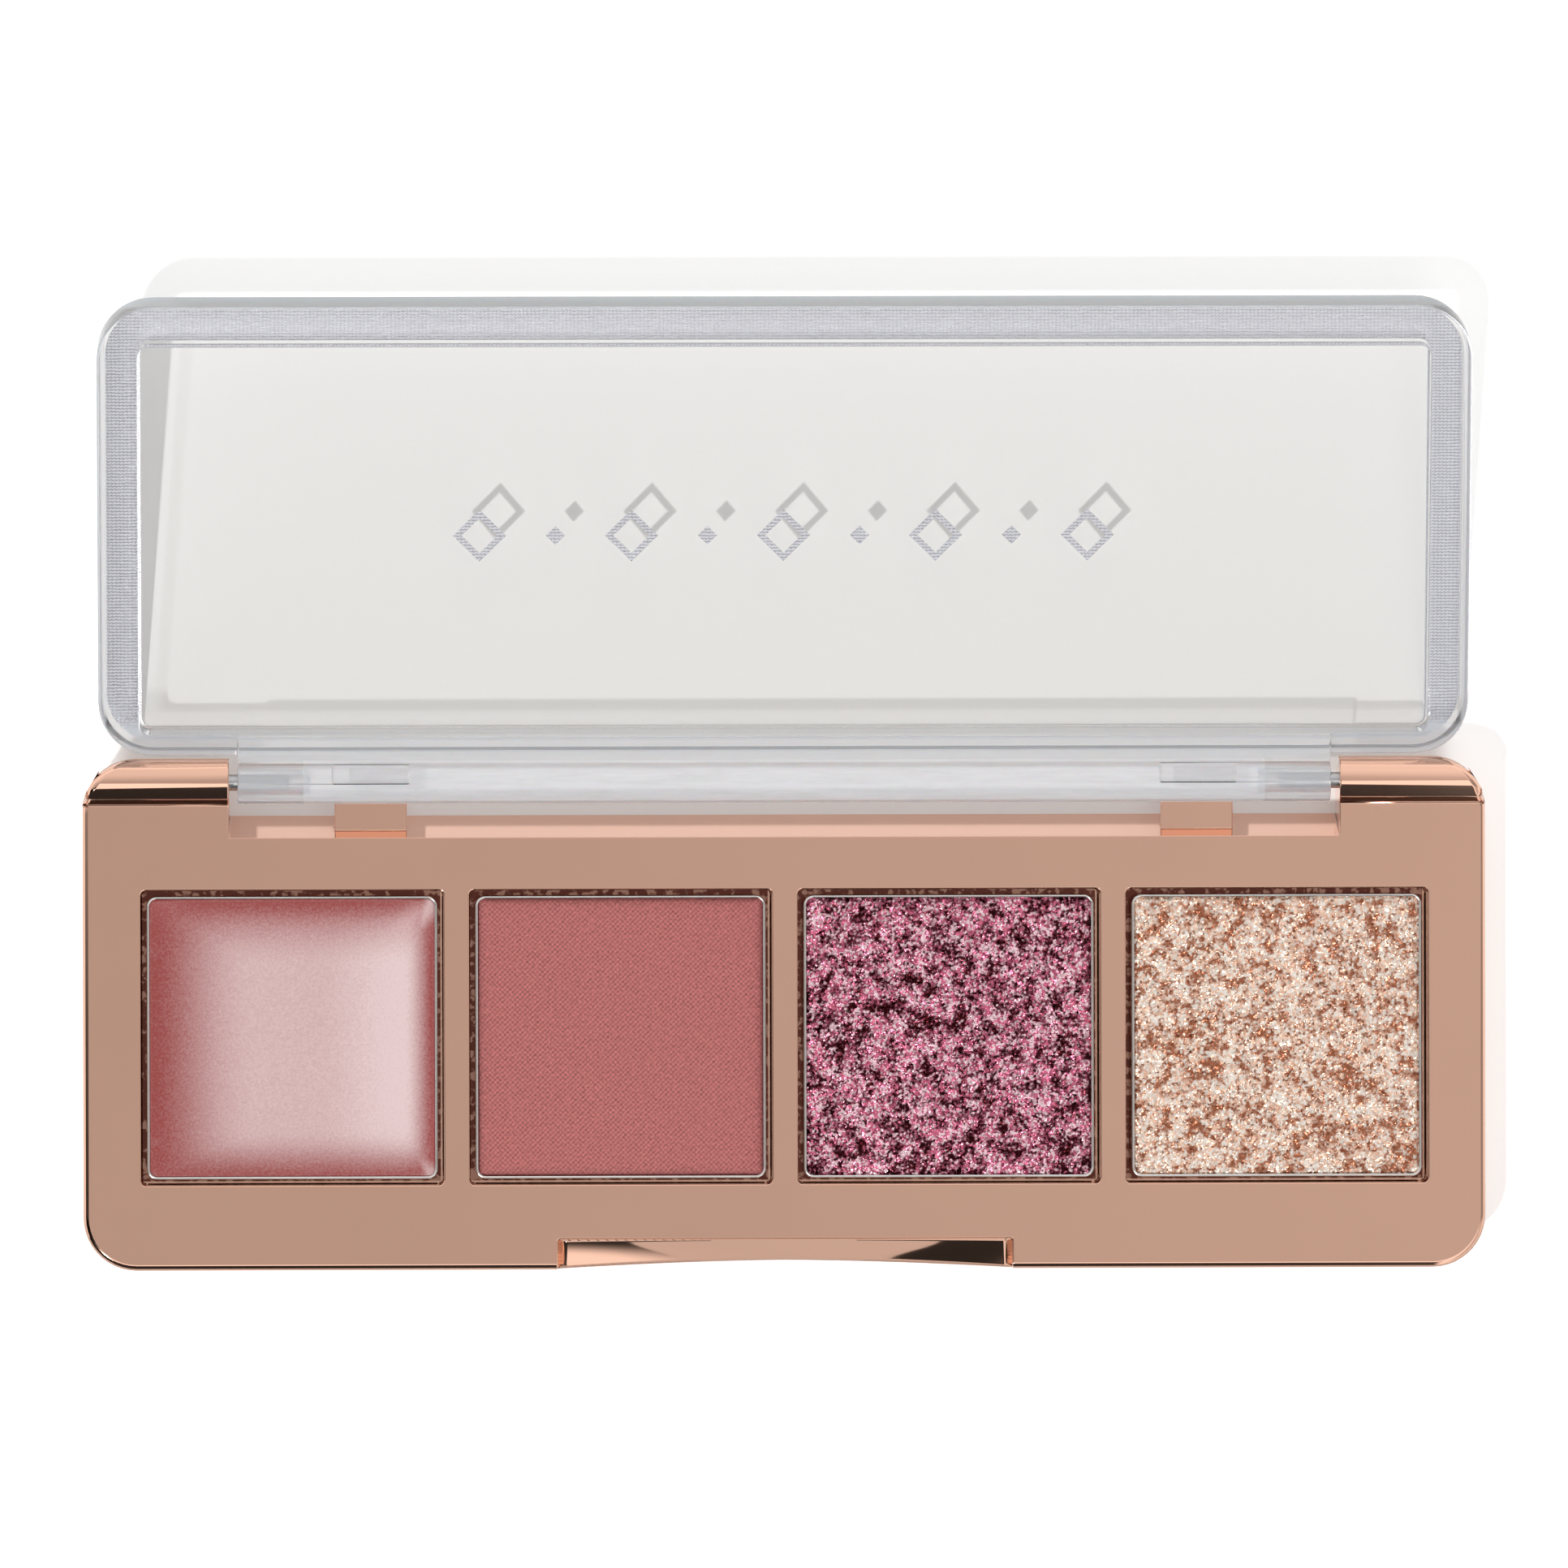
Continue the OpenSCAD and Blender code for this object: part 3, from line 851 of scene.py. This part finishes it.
class PALETTE_OT_base_tray(bpy.types.Operator):
    """Add the mirror-finish base with its wells, recess, knuckles and thumb scoop"""

    bl_idname = "palette.base_tray"
    bl_label = "Base tray"

    def execute(self, context):
        """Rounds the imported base's edges and polishes it."""
        case = context.scene.palette_case
        finish = mirror_rose_gold(case)
        low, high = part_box("base_tray")
        end_x = high.x - 3.8 * MM
        above_deck = DECK_H + 0.1 * MM

        def knuckle_end(point):
            """Whether a point is on a knuckle's outer end."""
            return abs(point.x) > end_x and point.z > above_deck

        mesh = softened("base_tray", "base_tray_polished", knuckle_end,
                        case.edge / case.knuckle_end)
        piece = hand_over("base_tray_polished", mesh, finish, "base_tray")
        round_edges(piece, case.knuckle_end, 4)
        scoop = new_mesh("thumb_scoop_skin", *scoop_skin(low.y))
        weigh_normals(hand_over("thumb_scoop_skin", scoop, finish, "base_tray"))
        return {"FINISHED"}


class PALETTE_OT_bottom_cover(bpy.types.Operator):
    """Add the satin cover that closes the base from below"""

    bl_idname = "palette.bottom_cover"
    bl_label = "Bottom cover"

    def execute(self, context):
        """Builds a thin plate with eased edges."""
        low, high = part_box("bottom_cover")
        ease = 0.15 * MM
        profile = (quarter(ease, low.z + ease, ease, -90, 0)
                   + quarter(ease / 2, high.z - ease / 2, ease / 2, 0, 90))
        mesh = stacked("bottom_cover_satin", low, high, 2 * MM, profile)
        piece = hand_over("bottom_cover_satin", mesh,
                          satin_cover(context.scene.palette_case),
                          "bottom_cover")
        weigh_normals(piece)
        return {"FINISHED"}


class PALETTE_OT_pans(bpy.types.Operator):
    """Add the four pressed tins"""

    bl_idname = "palette.pans"
    bl_label = "Pans"

    def execute(self, context):
        """Builds each tin as one skin: foot, wall, rolled rim, inside wall and floor."""
        finish = bright_tin(context.scene.palette_case)
        foot = 0.35 * MM
        tin = 0.2 * MM
        for shade in SHADES:
            node = "pan_" + shade
            low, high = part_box(node)
            profile = (quarter(foot, low.z + foot, foot, -90, 0)
                       + quarter(tin / 2, high.z - tin / 2, tin / 2, 0, 180, 8)
                       + quarter(foot, low.z + foot, foot - tin, 0, -90))
            mesh = stacked(node + "_tin", low, high, 0.7 * MM, profile)
            weigh_normals(hand_over(node + "_tin", mesh, finish, node))
        return {"FINISHED"}


class PALETTE_OT_glue(bpy.types.Operator):
    """Add the glue pads under the pans"""

    bl_idname = "palette.glue"
    bl_label = "Glue"

    def execute(self, context):
        """Builds each pad with a squeezed-out edge."""
        finish = hot_melt(context.scene.palette_case)
        for shade in SHADES:
            node = "glue_" + shade
            low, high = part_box(node)
            bulge = (high.z - low.z) / 2
            profile = quarter(bulge, low.z + bulge, bulge, -90, 90, 8)
            mesh = stacked(node + "_pad", low, high, 0.7 * MM, profile)
            weigh_normals(hand_over(node + "_pad", mesh, finish, node))
        return {"FINISHED"}


class PALETTE_OT_cream_cake(bpy.types.Operator):
    """Add the poured satin cream"""

    bl_idname = "palette.cream_cake"
    bl_label = "Cream"

    def execute(self, context):
        """Builds the cream's dished skin."""
        cakes = context.scene.palette_cakes
        low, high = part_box("cake_cream")
        mesh = cake_mesh("cake_cream_poured", "cake_cream", 120,
                         cream_height(cakes, (high - low) / 2))
        hand_over("cake_cream_poured", mesh, satin_cream(cakes), "cake_cream")
        return {"FINISHED"}


class PALETTE_OT_matte_cake(bpy.types.Operator):
    """Add the matte powder with its cloth mark"""

    bl_idname = "palette.matte_cake"
    bl_label = "Matte powder"

    def execute(self, context):
        """Builds the powder's top with every bump of the cloth mark."""
        cakes = context.scene.palette_cakes
        mesh = cake_mesh("cake_matte_pressed", "cake_matte", 280, matte_height(cakes))
        hand_over("cake_matte_pressed", mesh, pressed_matte(cakes), "cake_matte")
        return {"FINISHED"}


class PALETTE_OT_glitter_cakes(bpy.types.Operator):
    """Add the plum and champagne glitters"""

    bl_idname = "palette.glitter_cakes"
    bl_label = "Glitters"

    def execute(self, context):
        """Builds the broken tops and their flakes."""
        cakes = context.scene.palette_cakes
        plum = pressed_flakes("plum_flakes", cakes.plum_pit_shade, cakes.plum,
                              cakes.plum_glint, cakes.flake, metal=0.97, pitted=0.95)
        pearl_sheen = pressed_flakes("pearl_flakes", cakes.champagne_pit_shade, cakes.champagne,
                               cakes.champagne_glint, cakes.flake, metal=0.6, pitted=0.90)
        for shade, finish, seed, coarse in (("plum", plum, 11, 1.0),
                                            ("champagne", pearl_sheen, 29, 1.35)):
            node = "cake_" + shade
            mesh = cake_mesh(node + "_pressed", node, 280,
                             glitter_height(cakes, seed, coarse), smooth=False)
            hand_over(node + "_pressed", mesh, finish, node)
        return {"FINISHED"}


class PALETTE_OT_lid(bpy.types.Operator):
    """Add the clear lid with its hinge barrel"""

    bl_idname = "palette.lid"
    bl_label = "Lid"

    def execute(self, context):
        """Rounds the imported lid's edges and makes it clear."""
        lid = context.scene.palette_lid
        mesh = softened("lid", "lid_clear")
        piece = hand_over("lid_clear", mesh, clear_plastic(lid), "lid")
        round_edges(piece, lid.edge, 2)
        return {"FINISHED"}


class PALETTE_OT_foils(bpy.types.Operator):
    """Add the foil border and the row of foil lozenges"""

    bl_idname = "palette.foils"
    bl_label = "Foils"

    def execute(self, context):
        """Presses each foil a little way into the lid's outer face."""
        finish = linen_foil(context.scene.palette_lid)
        press = -0.012 * MM * LID_OUTWARD
        for node in ("foil_border", "foil_ornament"):
            mesh = frame["nodes"][node].data.copy()
            mesh.transform(Matrix.Translation(press))
            weigh_normals(hand_over(node + "_stamped", mesh, finish, node))
        return {"FINISHED"}


class PALETTE_OT_hinge_pins(bpy.types.Operator):
    """Add the two steel pins"""

    bl_idname = "palette.hinge_pins"
    bl_label = "Hinge pins"

    def execute(self, context):
        """Builds each pin with chamfered ends."""
        finish = drawn_steel(context.scene.palette_case)
        for side in ("left", "right"):
            node = "hinge_pin_" + side
            low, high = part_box(node)
            mesh = spun_along_x(node + "_wire", low, high, 0.12 * MM)
            weigh_normals(hand_over(node + "_wire", mesh, finish, node))
        return {"FINISHED"}


class PALETTE_OT_stage(bpy.types.Operator):
    """Add the table, the sky panels, the key light and the camera"""

    bl_idname = "palette.stage"
    bl_label = "Stage"

    def execute(self, context):
        """Sets the table, lights and camera, and plain colour management."""
        scene = context.scene
        stage = scene.palette_stage
        scene.view_settings.view_transform = "Standard"
        add_table(scene, stage)
        add_key_light(scene, stage)
        add_sky(scene, stage)
        add_camera(scene)
        return {"FINISHED"}


def add_table(scene, stage):
    """The table, far wider than any view of the palette."""
    reach = 4.0
    drop = 0.02 * MM
    points = [(-reach, -reach, 0), (reach, -reach, 0), (reach, reach, 0), (-reach, reach, 0)]
    mesh = new_mesh("table", points, [(0, 1, 2, 3)], smooth=False)
    mesh.materials.append(table_top(stage))
    table = bpy.data.objects.new("table", mesh)
    table.location.z = -drop
    scene.collection.objects.link(table)


def add_key_light(scene, stage):
    """A small hard key from the front left."""
    travel = Vector((0.39, 0.49, -1))
    lamp = bpy.data.lights.new("key", "SUN")
    lamp.energy = stage.key
    lamp.angle = math.radians(2.2)
    key = bpy.data.objects.new("key", lamp)
    key.rotation_mode = "QUATERNION"
    key.rotation_quaternion = travel.to_track_quat("-Z", "Y")
    scene.collection.objects.link(key)


def add_sky(scene, stage):
    """Panels of light round the palette, and plain white for the backdrop.

    A lit ceiling grows brighter behind, a bright strip stands just in front of the
    zenith, a low band lights the sides and back, and the front is dark.
    """
    world = bpy.data.worlds.new("sky")
    world.use_nodes = True
    scene.world = world
    s = Shader(world.node_tree)
    x, y, z = s.apart(s.add("ShaderNodeTexCoord", {}, {}).out("Generated"))
    forward = y * -1
    top = stage.overhead * (0.87 + 0.2 * x.rise(-0.03, 0.09))
    above = top + (stage.behind - stage.overhead) * y.rise(0.05, 0.8)
    strip = forward.rise(0.10, 0.15)
    dark = forward.rise(0.36, 0.42) * (1 - 0.9 * x.rise(0.05, 0.20))
    left_front = (x * -1).rise(0.16, 0.24) * (y * -1).rise(0.012, 0.018)
    right = x.rise(0.25, 0.5) * 0.45
    light = above * (1 - strip) + stage.strip * strip
    light = light * (1 - right) * (1 - left_front)
    low_down = 1 - z.rise(0.18, 0.36)
    light = light * (1 - low_down) + stage.horizon * low_down
    light = light * (1 - dark) + stage.front * dark
    seen = s.add("ShaderNodeLightPath", {}, {}).out("Is Camera Ray")
    panels = s.add("ShaderNodeBackground", {},
                   {"Color": (1, 0.992, 0.985), "Strength": light})
    plain = s.add("ShaderNodeBackground", {}, {"Color": (1, 1, 1), "Strength": 1})
    both = s.add("ShaderNodeMixShader", {}, {0: seen, 1: panels, 2: plain})
    s.add("ShaderNodeOutputWorld", {}, {"Surface": both})


def add_camera(scene):
    """A long lens almost straight above."""
    lens = bpy.data.cameras.new("camera")
    lens.sensor_width = 36
    lens.lens = 405.4
    lens.clip_start = 0.1
    lens.clip_end = 20
    camera = bpy.data.objects.new("camera", lens)
    tilt, yaw, roll = (math.radians(a) for a in (-0.64, 1.36, 0.141))
    turn = (Matrix.Rotation(tilt, 4, "X") @ Matrix.Rotation(-yaw, 4, "Y")
            @ Matrix.Rotation(-roll, 4, "Z"))
    place = Vector((-28.4, 28.9, 1199.9)) * MM
    camera.matrix_world = Matrix.Translation(place) @ turn
    scene.collection.objects.link(camera)
    scene.camera = camera


# ---------------------------------------------------------------- panel and registration


OPERATORS = (PALETTE_OT_base_tray, PALETTE_OT_bottom_cover, PALETTE_OT_pans,
             PALETTE_OT_glue, PALETTE_OT_cream_cake, PALETTE_OT_matte_cake,
             PALETTE_OT_glitter_cakes, PALETTE_OT_lid, PALETTE_OT_foils,
             PALETTE_OT_hinge_pins, PALETTE_OT_stage)
GROUPS = {"palette_case": PaletteCase, "palette_cakes": PaletteCakes,
          "palette_lid": PaletteLid, "palette_stage": PaletteStage}


class PALETTE_PT_sidebar(bpy.types.Panel):
    """Lists the palette's pieces and their settings"""

    bl_idname = "PALETTE_PT_sidebar"
    bl_label = "Eyeshadow palette"
    bl_space_type = "VIEW_3D"
    bl_region_type = "UI"
    bl_category = "Palette"

    def draw(self, context):
        """Draws a button for each piece, then the settings."""
        for operator in OPERATORS:
            self.layout.operator(operator.bl_idname)
        for name, group in GROUPS.items():
            box = self.layout.box()
            for setting in group.__annotations__:
                box.prop(getattr(context.scene, name), setting)


def register():
    """Registers the settings, operators and panel."""
    for name, group in GROUPS.items():
        bpy.utils.register_class(group)
        setattr(bpy.types.Scene, name, bpy.props.PointerProperty(type=group))
    for kind in (*OPERATORS, PALETTE_PT_sidebar):
        bpy.utils.register_class(kind)


def unregister():
    """Takes the panel, operators and settings away again."""
    for kind in (PALETTE_PT_sidebar, *reversed(OPERATORS)):
        bpy.utils.unregister_class(kind)
    for name, group in GROUPS.items():
        delattr(bpy.types.Scene, name)
        bpy.utils.unregister_class(group)


def main():
    """Adds every piece and the stage."""
    register()
    bpy.ops.palette.base_tray()
    bpy.ops.palette.bottom_cover()
    bpy.ops.palette.pans()
    bpy.ops.palette.glue()
    bpy.ops.palette.cream_cake()
    bpy.ops.palette.matte_cake()
    bpy.ops.palette.glitter_cakes()
    bpy.ops.palette.lid()
    bpy.ops.palette.foils()
    bpy.ops.palette.hinge_pins()
    bpy.ops.palette.stage()


if __name__ == "__main__":
    main()
